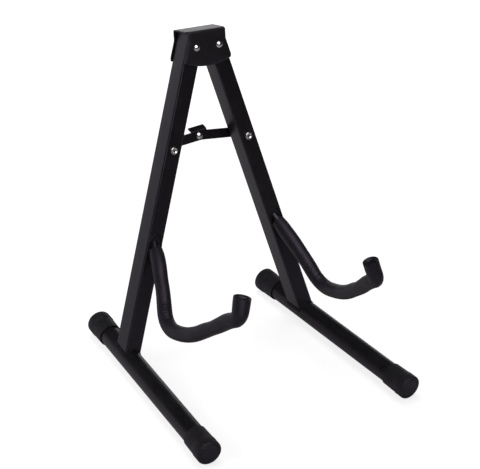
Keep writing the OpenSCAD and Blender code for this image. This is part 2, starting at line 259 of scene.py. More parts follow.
# %% Powder coat
def powder_coat(
    name, dark, light, rough, grit=0.00045, peel=0.0024, depth=0.00002, shine=0.56
):
    material, tree, shader = new_material(name, Specular_IOR_Level=shine, Specular_Tint=VIOLET)
    place = object_place(tree)
    cloud = speckle(tree, place, 0.02)
    colour = ramp(tree, cloud, [(0.3, dark), (0.7, light)])
    tree.links.new(colour.socket, shader.inputs["Base Color"])
    fine = speckle(tree, place, grit, 2.0)
    coarse = speckle(tree, place, peel, 1.0)
    gloss = rough + (cloud - 0.5) * 0.10 + (fine - 0.5) * 0.14
    tree.links.new(gloss.socket, shader.inputs["Roughness"])
    bump(tree, shader, coarse * 0.7 + fine * 0.5, depth)
    return material


tube_paint = powder_coat(
    "frame_paint", (0.0110, 0.0105, 0.0115), (0.0165, 0.0157, 0.0172), 0.36
)
cover_paint = powder_coat(
    "cover_paint", (0.027, 0.0255, 0.029), (0.036, 0.034, 0.038), 0.34, peel=0.0032
)
weld_paint = powder_coat(
    "weld_paint", (0.010, 0.0095, 0.0105), (0.016, 0.0153, 0.0165), 0.55, peel=0.0011,
    shine=0.22,
)

# %% [markdown]
# ## Rubber, foam and nickel
#
# The caps are moulded rubber: a matt skin with the fine grain of the mould and a faint bloom of
# dust. The sleeves are extruded foam rubber, so their grain runs along them. It follows the
# sleeve's own UV map, where V is the way along it. Its lighter streaks in the base colour are
# partly painted sheen: bands of highlight along each sleeve. The rivets are bright nickel with
# tiny strokes from the tumbling drum.


# %% Rubber
def moulded_rubber():
    material, tree, shader = new_material(
        "cap_rubber", Specular_IOR_Level=0.44, Specular_Tint=VIOLET
    )
    place = object_place(tree)
    cloud = speckle(tree, place, 0.012)
    dust = speckle(tree, place, 0.0016, 4.0, 0.7)
    mixed = cloud * 0.6 + dust * 0.4
    colour = ramp(
        tree, mixed, [(0.35, (0.015, 0.0142, 0.0165)), (0.68, (0.029, 0.0275, 0.031))]
    )
    tree.links.new(colour.socket, shader.inputs["Base Color"])
    gloss = 0.55 + (dust - 0.5) * 0.2
    tree.links.new(gloss.socket, shader.inputs["Roughness"])
    bump(tree, shader, speckle(tree, place, 0.0006, 2.0) + dust * 0.6, 0.00003)
    return material


cap_rubber = moulded_rubber()


# %% Foam
def foam_skin():
    material, tree, shader = new_material(
        "sleeve_foam", Specular_IOR_Level=0.44, Specular_Tint=VIOLET
    )
    around = Wire(tree, tree.nodes.new("ShaderNodeUVMap").outputs["UV"])
    grain = add_node(tree, "ShaderNodeMapping", None, around, Scale=(26, 34, 1))
    streak_and_sheen = speckle(tree, grain, 1.0, 3.0)
    place = object_place(tree)
    pores = speckle(tree, place, 0.0007, 2.0, 0.6)
    cloud = speckle(tree, place, 0.015)
    # The lighter streaks are grain of the extrusion and also painted sheen, bands of highlight
    # along the sleeve
    colour = ramp(
        tree, streak_and_sheen * 0.5 + cloud * 0.5,
        [(0.32, (0.013, 0.0120, 0.0150)), (0.7, (0.030, 0.0275, 0.033))],
    )
    tree.links.new(colour.socket, shader.inputs["Base Color"])
    gloss = 0.5 + (pores - 0.5) * 0.2 + (streak_and_sheen - 0.5) * 0.15
    tree.links.new(gloss.socket, shader.inputs["Roughness"])
    bump(tree, shader, streak_and_sheen * 1.2 + pores * 0.5, 0.00009)
    return material


sleeve_foam = foam_skin()


# %% Nickel
def bright_nickel():
    material, tree, shader = new_material("nickel", Metallic=1.0)
    place = object_place(tree)
    stroke = speckle(tree, object_place(tree, (1, 1, 6)), 0.0008, 3.0)
    tarnish = speckle(tree, place, 0.0035, 3.0)
    colour = ramp(
        tree, tarnish, [(0.3, (0.70, 0.69, 0.67)), (0.7, (0.84, 0.83, 0.82))]
    )
    tree.links.new(colour.socket, shader.inputs["Base Color"])
    gloss = 0.17 + (stroke - 0.5) * 0.12 + (tarnish - 0.5) * 0.08
    tree.links.new(gloss.socket, shader.inputs["Roughness"])
    bump(tree, shader, stroke + tarnish, 0.00002)
    return material


nickel = bright_nickel()

# %% [markdown]
# ## Helpers that make a mesh
#
# Most pieces of the stand are either turned about an axis, such as caps and rivets, or run
# along a path, such as sleeves. Both are grids of rings, so one function joins the rings
# and closes the ends.


# %% Rings to mesh
def finish_piece(name, verts, faces, material, body, smooth=True):
    mesh = bpy.data.meshes.new(name)
    mesh.from_pydata([tuple(v) for v in verts], [], faces)
    mesh.validate()
    mesh.update()
    piece = bpy.data.objects.new(name, mesh)
    bpy.context.scene.collection.objects.link(piece)
    piece.data.materials.append(material)
    for polygon in mesh.polygons:
        polygon.use_smooth = smooth
    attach(piece, body)
    return piece


def ring_faces(count, sides):
    """Quads between rings that follow each other in the list of points."""
    return [
        (i * sides + k, i * sides + (k + 1) % sides,
         (i + 1) * sides + (k + 1) % sides, (i + 1) * sides + k)
        for i in range(count - 1) for k in range(sides)
    ]


def loop_faces(verts, sides):
    """The same quads where the last ring joins the first one again."""
    return [
        tuple(v % len(verts) for v in face)
        for face in ring_faces(len(verts) // sides + 1, sides)
    ]


def turned(name, profile, place, material, body, sides=72):
    """A lathe form. profile is [(radius, height)] from the first pole to the last."""
    rings = [p for p in profile if p[0] > 0]
    verts = [
        place @ Vector((r * math.cos(a), r * math.sin(a), h))
        for r, h in rings for a in (2 * math.pi * k / sides for k in range(sides))
    ]
    faces = ring_faces(len(rings), sides)
    if profile[0][0] == 0:
        first = len(verts)
        verts.append(place @ Vector((0, 0, profile[0][1])))
        faces += [(first, (k + 1) % sides, k) for k in range(sides)]
    if profile[-1][0] == 0:
        verts.append(place @ Vector((0, 0, profile[-1][1])))
        top = (len(rings) - 1) * sides
        faces += [(len(verts) - 1, top + k, top + (k + 1) % sides) for k in range(sides)]
    return finish_piece(name, verts, faces, material, body)


def arc_points(centre, radius, start, end, steps=6):
    """Profile points on an arc, angles in degrees from the radius direction."""
    return [
        (centre[0] + radius * math.cos(math.radians(a)),
         centre[1] + radius * math.sin(math.radians(a)))
        for a in (start + (end - start) * k / steps for k in range(steps + 1))
    ]


# %% [markdown]
# ## Rubber caps
#
# Each cap is one moulding pushed over the tube: a thin mouth with a rounded lip, a collar
# that swells towards the end, a step, and a thick nose. Its end has a rounded edge and a
# groove round the flat disc. Heights run from 0 at that end back to the mouth.

# %% Caps
FOOT_RADIUS = 13.6 * MM
FOOT_FRONT, FOOT_BACK = 221 * MM, 86 * MM
CAP_LEN, CAP_NOSE, CAP_EDGE = 37 * MM, 14 * MM, 2.6 * MM
CAP_NECK, CAP_MOUTH = 15.65 * MM, 15.15 * MM
CAP_END, CAP_SLACK = 3 * MM, 0.05 * MM
CAP_LIP, CAP_FLARE, FLARE_LEN = 0.4 * MM, 0.7 * MM, 3 * MM
COLLAR_START, COLLAR_ROOM, COLLAR_STEPS = 1.5 * MM, 1.8 * MM, 4
STEP_SLOPE, STEP_ROUND = 0.1 * MM, 0.25 * MM
GROOVE, GROOVE_DEPTH = 12.9 * MM, 0.6 * MM
DISC_EDGE, DISC_ROUND, DISC_SINK = 1.5 * MM, 0.85 * MM, 0.9 * MM
DISC_FLAT, DISC_RIM, DISC_LEVEL = 3 * MM, 0.03 * MM, 0.02 * MM


def cap_profile():
    bore = FOOT_RADIUS + CAP_SLACK
    edge = CAP_RADIUS - CAP_EDGE
    mouth = bore + CAP_FLARE
    return (
        [(0, -CAP_END), (bore, -CAP_END), (bore, -CAP_LEN + FLARE_LEN)]
        + [(mouth, -CAP_LEN + CAP_LIP)]
        + arc_points((mouth + CAP_LIP, -CAP_LEN + CAP_LIP), CAP_LIP, 200, 270, 4)
        + arc_points((CAP_MOUTH - CAP_LIP, -CAP_LEN + CAP_LIP), CAP_LIP, 270, 360, 5)
        + [
            (CAP_MOUTH + (CAP_NECK - CAP_MOUTH) * k / COLLAR_STEPS,
             -CAP_LEN + COLLAR_START + (CAP_LEN - CAP_NOSE - COLLAR_ROOM) * k / COLLAR_STEPS)
            for k in range(COLLAR_STEPS + 1)
        ]
        + [(CAP_NECK + CAP_SLACK, -CAP_NOSE - STEP_SLOPE), (CAP_RADIUS - STEP_SLOPE, -CAP_NOSE)]
        + [(CAP_RADIUS, -CAP_NOSE + STEP_ROUND), (CAP_RADIUS, -CAP_NOSE / 2)]
        + arc_points((edge, -CAP_EDGE), CAP_EDGE, 0, 80, 8)
        + arc_points((GROOVE, 0), GROOVE_DEPTH, -20, -160, 6)
        + arc_points((GROOVE - DISC_EDGE, -DISC_SINK), DISC_ROUND, 20, 90, 5)
        + [(GROOVE - DISC_FLAT, -DISC_RIM), (GROOVE / 2, -DISC_LEVEL), (0, -DISC_LEVEL)]
    )


for side in (LEFT, RIGHT):
    for end, reach, flip in (("front", FOOT_FRONT, 0), ("back", -FOOT_BACK, math.pi)):
        place = (
            foot_frame(side)
            @ Matrix.Translation((0, 0, reach))
            @ Matrix.Rotation(flip, 4, "X")
        )
        cap = turned(
            f"cap_{end}_moulding_{NAMES[side]}", cap_profile(), place,
            cap_rubber, f"{NAMES[side]}_leg", 96,
        )
        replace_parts(cap, f"cap_{end}_{NAMES[side]}")
print("four caps")

# %% [markdown]
# ## The arms' foam sleeves
#
# Each arm is a steel rod bent in the plane of its leg, in a sleeve of foam rubber. The
# sleeve is a sweep along the rod's path, with what a plain CAD tube lacks: it is slightly
# oval in each bend, wrinkled where the bend is tight, swollen and sagging in places, and
# cut at a slant at the open tip, so that the rod's end shows a little way down.

# %% The rod's path
ARM_ROOT = 145 * MM
DROP, DROP_RUN = math.radians(51.5), 48.5 * MM
KICK, KICK_RADIUS = math.radians(9), 120 * MM
LOW_RUN, LOW_RADIUS = 20 * MM, 33 * MM
CRADLE_RADIUS, RISE, RISE_RUN = 112 * MM, math.radians(29), 69.5 * MM
ELBOW_RADIUS, TIP_RUN, LIP = 11 * MM, 17 * MM, 3 * MM
ARM_MOVES = [
    (DROP_RUN, 0), (KICK_RADIUS * KICK, -KICK), (LOW_RUN, 0),
    (LOW_RADIUS * (DROP + KICK), DROP + KICK), (CRADLE_RADIUS * RISE, RISE),
    (RISE_RUN, 0), (ELBOW_RADIUS * (math.pi / 2 - RISE), math.pi / 2 - RISE),
    (TIP_RUN + LIP, 0),
]
ARM_LENGTH = sum(length for length, _ in ARM_MOVES)


def arm_station(at):
    """(forward, up, heading, turn per metre) at a length along the rod."""
    forward, up, heading = LEG_HALF, ARM_ROOT, -DROP
    for length, turned_by in ARM_MOVES:
        part = min(max(at, 0), length)
        curve = turned_by / length
        if turned_by:
            end = heading + curve * part
            forward += (math.sin(end) - math.sin(heading)) / curve
            up += (math.cos(heading) - math.cos(end)) / curve
            heading = end
        else:
            forward += part * math.cos(heading)
            up += part * math.sin(heading)
        if at <= length:
            return forward, up, heading, curve
        at -= length
    return forward, up, heading, 0.0


def arm_frame(side):
    """X forward, Y up the leg, both from the foot's axis, in the plane the rod bends in."""
    return (
        toe_frame(side)
        @ Matrix.Rotation(math.radians(-90), 4, "Z")
        @ Matrix.Rotation(math.radians(90), 4, "X")
    )


def leg_face(side, off, across):
    """How far forward a plane this far off the leg's front lies, at a place across the arm."""
    return (LEG_HALF + off) / math.cos(TOE_IN) + side * math.tan(TOE_IN) * across


print(f"sleeve length {ARM_LENGTH:.3f} m")

# %% [markdown]
# The wrinkles are a short train of waves across the inner side of the bend. Each side of
# the stand has its own wrinkles, swells and sags, as no two pushed-on sleeves are alike.

# %% The sleeve's skin
SLEEVE_RADIUS, ROD_RADIUS, WELD_ROOM = 9.5 * MM, 5.0 * MM, 1.2 * MM
SLEEVE_SIDES, SLEEVE_STEP = 72, 0.5 * MM
EDGE_ROUND = 0.9 * MM
BORE, BORE_STEP = ROD_RADIUS + 0.15 * MM, 2.5 * MM
BORE_ENDS, ROOT_DEPTH, BORE_LIP = 4 * MM, 2.5 * MM, 0.5 * MM
ROOT_TAPER, ROOT_RUN = 1.1 * MM, 13 * MM
SKIN_INSET, OVAL, TIGHTEST = 0.05 * MM, 0.012 * MM, 60
FINE_WAVE, BROAD_WAVE = 0.12 * MM, 0.16 * MM
UV_PER_METRE = 8
START, SHORT = 4.6 * MM, {LEFT: 1.4 * MM, RIGHT: -1.6 * MM}
# Each is (middle along the rod, half length, depth, waves, angle round the sleeve)
WRINKLES = {
    LEFT: [
        (84 * MM, 12 * MM, 1.5 * MM, 7.0, 0.25), (101 * MM, 10 * MM, 0.8 * MM, 4.0, 0.9),
        (253 * MM, 8 * MM, 0.6 * MM, 1.5, 0.0),
    ],
    RIGHT: [
        (94 * MM, 13 * MM, 0.40 * MM, 4.0, -0.4), (60 * MM, 12 * MM, 0.2 * MM, 3.0, -0.8),
        (248 * MM, 9 * MM, 0.5 * MM, 1.5, 0.1),
    ],
}
# Each is (middle along the rod, half length, growth all round, growth on the upper side)
SWELLS = {
    LEFT: [
        (26 * MM, 24 * MM, -0.3 * MM, 1.2 * MM), (58 * MM, 30 * MM, -0.5 * MM, 0.0),
        (202 * MM, 16 * MM, -0.25 * MM, -0.55 * MM), (231 * MM, 17 * MM, 0.1 * MM, 0.7 * MM),
        (276 * MM, 36 * MM, 1.4 * MM, 0.0),
    ],
    RIGHT: [
        (34 * MM, 26 * MM, 0.3 * MM, 0.5 * MM), (198 * MM, 14 * MM, -0.2 * MM, -0.5 * MM),
        (230 * MM, 18 * MM, -0.2 * MM, 0.9 * MM), (278 * MM, 34 * MM, 0.7 * MM, 0.0),
    ],
}
# Each is (middle along the rod, half length, shift of the skin to the lower side)
SAGS = {
    LEFT: [
        (16 * MM, 34 * MM, -1.3 * MM), (214 * MM, 34 * MM, 0.6 * MM),
        (255 * MM, 24 * MM, 2.0 * MM),
    ],
    RIGHT: [
        (104 * MM, 34 * MM, 0.9 * MM), (204 * MM, 28 * MM, 0.9 * MM),
        (256 * MM, 14 * MM, 1.0 * MM),
    ],
}
# Each is (slope of the cut at the tip, angle round the sleeve where it is deepest)
TIP_CUT, CUT_RUN = {LEFT: (0.15, 2.5), RIGHT: (0.06, 2.6)}, 14 * MM


def tip_cut(side, at, radius, angle):
    """How far the slanted cut at the tip draws a point of the sleeve back."""
    slope, deepest = TIP_CUT[side]
    near = max(0.0, 1 - (ARM_LENGTH - at) / CUT_RUN) ** 2
    return near * slope * (SLEEVE_RADIUS + radius * math.cos(angle - deepest))


def hump(at, middle, half):
    """A smooth rise from 0 to 1 and back over a stretch of the rod."""
    off = (at - middle) / half
    return math.cos(off * math.pi / 2) ** 2 if abs(off) < 1 else 0.0


def base_radius(side, at):
    """The sleeve's radius before what changes round it."""
    swell = sum(hump(at, middle, half) * whole for middle, half, whole, _ in SWELLS[side])
    taper = ROOT_TAPER * max(0.0, 1 - (at - START) / ROOT_RUN) ** 2
    return SLEEVE_RADIUS - SKIN_INSET + swell - taper


def skin_radius(side, at, angle, curve):
    """The sleeve's radius at a length along it and an angle, 0 on the upper side."""
    inner = math.cos(angle)
    radius = base_radius(side, at)
    radius += OVAL * min(abs(curve), TIGHTEST) * (0.5 * inner * inner - 0.3)
    for middle, half, depth, waves, skew in WRINKLES[side]:
        envelope = hump(at, middle, half)
        if envelope:
            facing = max(0.0, 0.25 + 0.75 * math.cos(angle - skew)) ** 1.3
            phase = (at - middle) / half * math.pi * waves + 0.6 * math.sin(angle * 2 + waves)
            radius -= depth * envelope * facing * (0.5 + 0.5 * math.cos(phase)) ** 3
    for middle, half, _, upper in SWELLS[side]:
        radius += hump(at, middle, half) * upper * max(0.0, inner) ** 1.5
    place = Vector((at * 60, math.cos(angle) * 1.1, math.sin(angle) * 1.1 + side * 7))
    broad = Vector((at * 22, math.cos(angle) * 0.7 + side * 3, math.sin(angle) * 0.7))
    return radius + FINE_WAVE * noise.noise(place) + BROAD_WAVE * noise.noise(broad)


def clear_of_leg(side, x, y, z, heading):
    """Slides a point that would lie in the leg along the rod, out to the leg's face."""
    wall = leg_face(side, WELD_ROOM, z)
    if x < wall:
        y += (wall - x) * math.tan(heading)
        x = wall
    return x, y


def sleeve_skin(side):
    """The outer skin's points from the root to the tip, with their places on the UV map."""
    end = ARM_LENGTH - SHORT[side] - EDGE_ROUND
    count = int((end - START) / SLEEVE_STEP)
    frame_here = arm_frame(side)
    verts, uvs = [], []
    for i in range(count + 1):
        at = START + (end - START) * i / count
        x, y, heading, curve = arm_station(at)
        sag = sum(hump(at, middle, half) * shift for middle, half, shift in SAGS[side])
        for k in range(SLEEVE_SIDES):
            angle = 2 * math.pi * k / SLEEVE_SIDES
            r = skin_radius(side, at, angle, curve)
            up = r * math.cos(angle) - sag
            cut = tip_cut(side, at, r, angle)
            px = x - up * math.sin(heading) - cut * math.cos(heading)
            py = y + up * math.cos(heading) - cut * math.sin(heading)
            pz = r * math.sin(angle)
            px, py = clear_of_leg(side, px, py, pz, heading)
            verts.append(frame_here @ Vector((px, py, pz)))
            uvs.append((k / SLEEVE_SIDES, at * UV_PER_METRE))
    return verts, uvs


# %% [markdown]
# The sleeve is one closed surface. At both ends rings shrink round a quarter circle and
# cross the end like a shallow funnel, at the tip down to the rod's end. From there rings
# round the rod run back through the bore to the root, where the surface meets itself.


# %% Sleeve with its open ends
# Each is (way inwards from the rounded edge, depth), down the funnel
FUNNEL = [(0.5 * MM, 0.0), (1.1 * MM, 0.5 * MM), (1.5 * MM, 1.5 * MM)]


def rod_ring(side, at, radius, shift=0.0):
    """A ring square to the rod, moved along it by shift and kept off the leg's face."""
    x, y, heading, _ = arm_station(at)
    along = Vector((math.cos(heading), math.sin(heading), 0))
    across = Vector((-math.sin(heading), math.cos(heading), 0))
    verts = []
    for k in range(SLEEVE_SIDES):
        a = 2 * math.pi * k / SLEEVE_SIDES
        run = shift - tip_cut(side, at, radius, a)
        point = Vector((x, y, 0)) + along * run + across * radius * math.cos(a)
        point.z = radius * math.sin(a)
        point.x, point.y = clear_of_leg(side, point.x, point.y, point.z, heading)
        verts.append(arm_frame(side) @ point)
    return verts


def end_rings(side, at, back, depth):
    """Rings over the rounded edge, across the end and down the bore.

    back is 1 at the tip and -1 at the root, where the sleeve runs the other way.
    """
    outer = base_radius(side, at) - EDGE_ROUND
    rings = [
        (outer + EDGE_ROUND * math.cos(a), EDGE_ROUND * (math.sin(a) - 1))
        for a in (math.radians(15 * k) for k in range(1, 7))
    ]
    rings += [(outer - inwards, -drop) for inwards, drop in FUNNEL]
    rings += [(BORE + BORE_LIP, -depth), (BORE, -depth)]
    return [rod_ring(side, at, radius, shift * back) for radius, shift in rings]


def build_sleeve(side):
    skin, uvs = sleeve_skin(side)
    root = end_rings(side, START - EDGE_ROUND, -1, ROOT_DEPTH)
    tip = end_rings(side, ARM_LENGTH - SHORT[side], 1, LIP + BORE_LIP)
    last = ARM_LENGTH - SHORT[side] - LIP - BORE_ENDS
    run = last - START - BORE_ENDS
    steps = int(run / BORE_STEP)
    stations = [last - run * k / steps for k in range(steps + 1)]
    bore = [rod_ring(side, at, BORE) for at in stations]
    verts = [v for ring in reversed(root) for v in ring] + skin
    verts += [v for ring in tip + bore for v in ring]
    around = [k / SLEEVE_SIDES for k in range(SLEEVE_SIDES)]
    uvs = [(u, 0) for _ in root for u in around] + uvs
    uvs += [(u, ARM_LENGTH * UV_PER_METRE) for _ in tip for u in around]
    uvs += [(u, at * UV_PER_METRE) for at in stations for u in around]
    piece = finish_piece(
        f"arm_sleeve_foam_{NAMES[side]}", verts, loop_faces(verts, SLEEVE_SIDES),
        sleeve_foam, f"{NAMES[side]}_leg",
    )
    layer = piece.data.uv_layers.new(name="UVMap")
    for loop in piece.data.loops:
        layer.data[loop.index].uv = uvs[loop.vertex_index]
    # The strip that closes the circle runs on to 1 instead of back to 0
    for polygon in piece.data.polygons:
        corners = [layer.data[at] for at in polygon.loop_indices]
        if any(corner.uv.x > 0.75 for corner in corners):
            for corner in corners:
                if corner.uv.x < 0.25:
                    corner.uv.x += 1
    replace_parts(piece, f"arm_sleeve_{NAMES[side]}")
    return piece


for side in (LEFT, RIGHT):
    made = build_sleeve(side)
    print(made.name, len(made.data.polygons), "faces")

# %% [markdown]
# ## Welds
#
# A hand weld is a smooth fillet with a row of overlapping puddles on it. The fillet is a
# strip between two lines, one up the wall and one out on the round tube. Geometry Nodes
# lay the puddles: points at an even spacing along the fillet's crown, and on each a ball
# sunk so far that only a low scale shows, varied a little in size by a fixed seed.


# %% The node tree that lays puddles
def puddle_tree():
    tree = bpy.data.node_groups.new("weld_puddles", "GeometryNodeTree")
    face = tree.interface
    face.new_socket("Crown", in_out="INPUT", socket_type="NodeSocketGeometry")
    for name in ("Spacing", "Size", "Least", "Most"):
        face.new_socket(name, in_out="INPUT", socket_type="NodeSocketFloat")
    face.new_socket("Seed", in_out="INPUT", socket_type="NodeSocketInt")
    face.new_socket("Finish", in_out="INPUT", socket_type="NodeSocketMaterial")
    face.new_socket("Geometry", in_out="OUTPUT", socket_type="NodeSocketGeometry")
    node = tree.nodes.new
    link = tree.links.new
    given, result = node("NodeGroupInput"), node("NodeGroupOutput")
    points = node("GeometryNodeCurveToPoints")
    points.mode = "LENGTH"
    link(given.outputs["Crown"], points.inputs["Curve"])
    link(given.outputs["Spacing"], points.inputs["Length"])
    ball = node("GeometryNodeMeshIcoSphere")
    ball.inputs["Subdivisions"].default_value = 3
    link(given.outputs["Size"], ball.inputs["Radius"])
    vary = node("FunctionNodeRandomValue")
    vary.data_type = "FLOAT"
    link(given.outputs["Least"], vary.inputs[2])
    link(given.outputs["Most"], vary.inputs[3])
    link(given.outputs["Seed"], vary.inputs["Seed"])
    lay = node("GeometryNodeInstanceOnPoints")
    link(points.outputs["Points"], lay.inputs["Points"])
    link(ball.outputs["Mesh"], lay.inputs["Instance"])
    link(vary.outputs[1], lay.inputs["Scale"])
    real = node("GeometryNodeRealizeInstances")
    smooth = node("GeometryNodeSetShadeSmooth")
    paint = node("GeometryNodeSetMaterial")
    link(lay.outputs["Instances"], real.inputs[0])
    link(real.outputs[0], smooth.inputs[0])
    link(smooth.outputs[0], paint.inputs["Geometry"])
    link(given.outputs["Finish"], paint.inputs["Material"])
    link(paint.outputs[0], result.inputs[0])
    return tree


PUDDLE_RISE = 0.16 * MM
PUDDLES = puddle_tree()
SOCKETS = {s.name: s.identifier for s in PUDDLES.interface.items_tree if s.in_out == "INPUT"}

# %% [markdown]
# The result of the modifier is taken as a plain mesh, because the export keeps no
# instances. It is joined with the fillet into one piece.


# %% Puddles and fillet to one piece
def puddles(crown, spacing, size, seed):
    """The points and faces of the puddles along a closed crown line."""
    curve = bpy.data.curves.new("crown", "CURVE")
    curve.dimensions = "3D"
    spline = curve.splines.new("POLY")
    spline.points.add(len(crown) - 1)
    for point, place in zip(spline.points, crown):
        point.co = (*place, 1)
    spline.use_cyclic_u = True
    line = bpy.data.objects.new("crown", curve)
    bpy.context.scene.collection.objects.link(line)
    modifier = line.modifiers.new("weld", "NODES")
    modifier.node_group = PUDDLES
    given = {
        "Spacing": spacing, "Size": size, "Least": 0.93, "Most": 1.07,
        "Seed": seed, "Finish": weld_paint,
    }
    for key, value in given.items():
        modifier[SOCKETS[key]] = value
    graph = bpy.context.evaluated_depsgraph_get()
    mesh = bpy.data.meshes.new_from_object(line.evaluated_get(graph), depsgraph=graph)
    verts = [v.co.copy() for v in mesh.vertices]
    faces = [tuple(p.vertices) for p in mesh.polygons]
    bpy.data.objects.remove(line)
    bpy.data.meshes.remove(mesh)
    return verts, faces


def weld_piece(name, inner, outer, centres, bulge, spacing, sink, seed, body):
    """A fillet between two closed lines, with puddles on its crown.

    centres is the line in the corner itself, from which the fillet swells outwards.
    """
    steps, rows, crown = 8, [], []
    for a, b, c in zip(inner, outer, centres):
        middle = (a + b) / 2
        control = middle + (middle - c) * bulge
        row = [
            a * (1 - t) ** 2 + control * 2 * t * (1 - t) + b * t ** 2
            for t in (k / steps for k in range(steps + 1))
        ]
        top = (a + 2 * control + b) / 4
        crown.append(top - (middle - c).normalized() * sink)
        rows.append(row + [c])
    sides = steps + 2
    verts = [p for row in rows for p in row]
    faces = loop_faces(verts, sides)
    more, more_faces = puddles(crown, spacing, sink + PUDDLE_RISE, seed)
    shift = len(verts)
    verts += more
    faces += [tuple(v + shift for v in face) for face in more_faces]
    return finish_piece(name, verts, faces, weld_paint, body)


# %% [markdown]
# The seam of a foot weld is where the leg's tube meets the round foot. For a point of the
# leg's outline the height follows from the foot's circle.

# %% Foot and arm-root welds
WELD_UP, WELD_OUT, WELD_STEP = 1.9 * MM, 1.7 * MM, 0.8 * MM
WANDER, SEAM_IN, SEAM_SUNK, TOE_SUNK = 0.25 * MM, 0.3 * MM, 0.4 * MM, 0.02 * MM
# Lines of the arm's seam, each (radius round the rod, way off the leg's face)
SEAM_OUTER = (SLEEVE_RADIUS + 0.85 * MM, 0.0)
SEAM_INNER = (SLEEVE_RADIUS - 0.3 * MM, 1.15 * MM)
SEAM_CORNER = (SLEEVE_RADIUS - 1.2 * MM, 0.1 * MM)
SEAM_POINTS = 96


def leg_outline(step):
    """Points round the leg's section with the direction outwards, (x, y, nx, ny)."""
    w, d, r = LEG_WIDTH / 2 - LEG_CORNER, LEG_DEPTH / 2 - LEG_CORNER, LEG_CORNER
    corners = ((1, 1, 0), (-1, 1, 90), (-1, -1, 180), (1, -1, 270))
    points = []
    for sx, sy, start in corners:
        for k in range(7):
            a = math.radians(start + 15 * k)
            nx, ny = math.cos(a), math.sin(a)
            points.append((sx * w + r * nx, sy * d + r * ny, nx, ny))
    dense = []
    for a, b in zip(points, points[1:] + points[:1]):
        parts = max(1, math.ceil(math.dist(a[:2], b[:2]) / step))
        dense += [
            tuple(p + (q - p) * k / parts for p, q in zip(a, b)) for k in range(parts)
        ]
    return dense


def on_foot(side, x, y, radius):
    """The point on the foot's tube below a point (x, y) of the leg's section."""
    across = x * math.cos(TOE_IN) - side * y * math.sin(TOE_IN)
    along = side * x * math.sin(TOE_IN) + y * math.cos(TOE_IN)
    up = math.sqrt(max(0.0, radius * radius - across * across))
    return Vector((x, y, (up + along * math.sin(foot_angle)) / math.cos(foot_angle)))


def foot_weld(side):
    place = leg_frame(side) @ Matrix.Translation((0, 0, -leg_len))
    inner, outer, centres = [], [], []
    for x, y, nx, ny in leg_outline(WELD_STEP):
        root = on_foot(side, x, y, FOOT_RADIUS)
        wander = noise.noise(Vector((x * 400, y * 400, side * 3.0))) * WANDER
        corner = on_foot(side, x - nx * SEAM_IN, y - ny * SEAM_IN, FOOT_RADIUS - SEAM_SUNK)
        out = WELD_OUT + wander
        toe = on_foot(side, x + nx * out, y + ny * out, FOOT_RADIUS - TOE_SUNK)
        centres.append(place @ corner)
        inner.append(place @ (root + Vector((0, 0, WELD_UP + wander))))
        outer.append(place @ toe)
    return weld_piece(
        f"foot_weld_bead_{NAMES[side]}", inner, outer, centres, bulge=0.22,
        spacing=1.35 * MM, sink=1.3 * MM, seed=3 + side, body=f"{NAMES[side]}_leg",
    )


def arm_weld(side):
    """The seam between the leg's face and the sleeve, round the rod."""
    place = arm_frame(side)
    inner, outer, centres = [], [], []
    for k in range(SEAM_POINTS):
        a = 2 * math.pi * k / SEAM_POINTS
        lines = ((SEAM_OUTER, outer), (SEAM_INNER, inner), (SEAM_CORNER, centres))
        for (radius, off), line in lines:
            pz = radius * math.sin(a)
            wall = leg_face(side, off, pz)
            px = LEG_HALF + radius * math.cos(a) * math.sin(DROP)
            py = ARM_ROOT + radius * math.cos(a) * math.cos(DROP) - (wall - px) * math.tan(DROP)
            line.append(place @ Vector((wall, py, pz)))
    return weld_piece(
        f"arm_weld_bead_{NAMES[side]}", inner, outer, centres, bulge=0.1,
        spacing=1.3 * MM, sink=0.7 * MM, seed=8 + side, body=f"{NAMES[side]}_leg",
    )


for side in (LEFT, RIGHT):
    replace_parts(foot_weld(side), f"foot_weld_{NAMES[side]}")
    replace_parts(arm_weld(side), f"arm_weld_{NAMES[side]}")
print("four welds")

# %% [markdown]
# ## Rivets
#
# Head rivets are solid, with a domed head over a thin flange and a low dome at the back.
# The brace rivets are tubular: their front end is rolled over into a ring with a hollow in
# its middle. Each is turned whole, from the tail to the head, with height towards the
# front.

# %% Rivets
CHANNEL_OUT, COVER_FACE = 15.8 * MM, 19.2 * MM
HEAD_PIN, HEAD_DOME = 3.0 * MM, 4.6 * MM
BRACE_PIN, BRACE_DOME, BRACE_BORE, ROLL = 2.5 * MM, 4.9 * MM, 1.9 * MM, 1.1 * MM
DOME_HEIGHT, TAIL_HEIGHT = 2.6 * MM, 2.0 * MM
LINK_THICK, LAYER_GAP, WASHER_THICK, OPEN_GAP = 2.0 * MM, 0.2 * MM, 0.6 * MM, 0.3 * MM
LINK_FRONT = LEG_HALF + WASHER_THICK + LAYER_GAP / 2
LINK_BACK = LINK_FRONT + LINK_THICK + LAYER_GAP
BRACE_DROP = 130 * MM
TO_FRONT = Matrix.Rotation(math.radians(90), 4, "X")


def dome(radius, height, rim=0.3 * MM):
    """Profile of a domed head from its seat outwards, over a thin upright rim."""
    rise = height - rim
    ball = (radius ** 2 + rise ** 2) / (2 * rise)
    start = math.degrees(math.asin((ball - rise) / ball))
    cap = arc_points((0, height - ball), ball, start, 90, 12)
    flange = [(radius - 0.08 * MM, 0), (radius, 0.08 * MM), (radius, rim - 0.05 * MM)]
    return flange + cap[:-1] + [(0, height)]


def rolled(radius):
    """Profile of a rolled ring from its seat outwards, with the hollow in its middle."""
    ring = arc_points((radius - ROLL, ROLL), ROLL, 0, 150, 16)
    return [(radius - 0.05 * MM, 0), (radius, 0.1 * MM)] + ring + [
        (BRACE_BORE + 0.15 * MM, ROLL * 1.25), (BRACE_BORE, ROLL * 1.1),
        (BRACE_BORE - 0.1 * MM, ROLL + 0.1 * MM), (0, ROLL + 0.03 * MM),
    ]


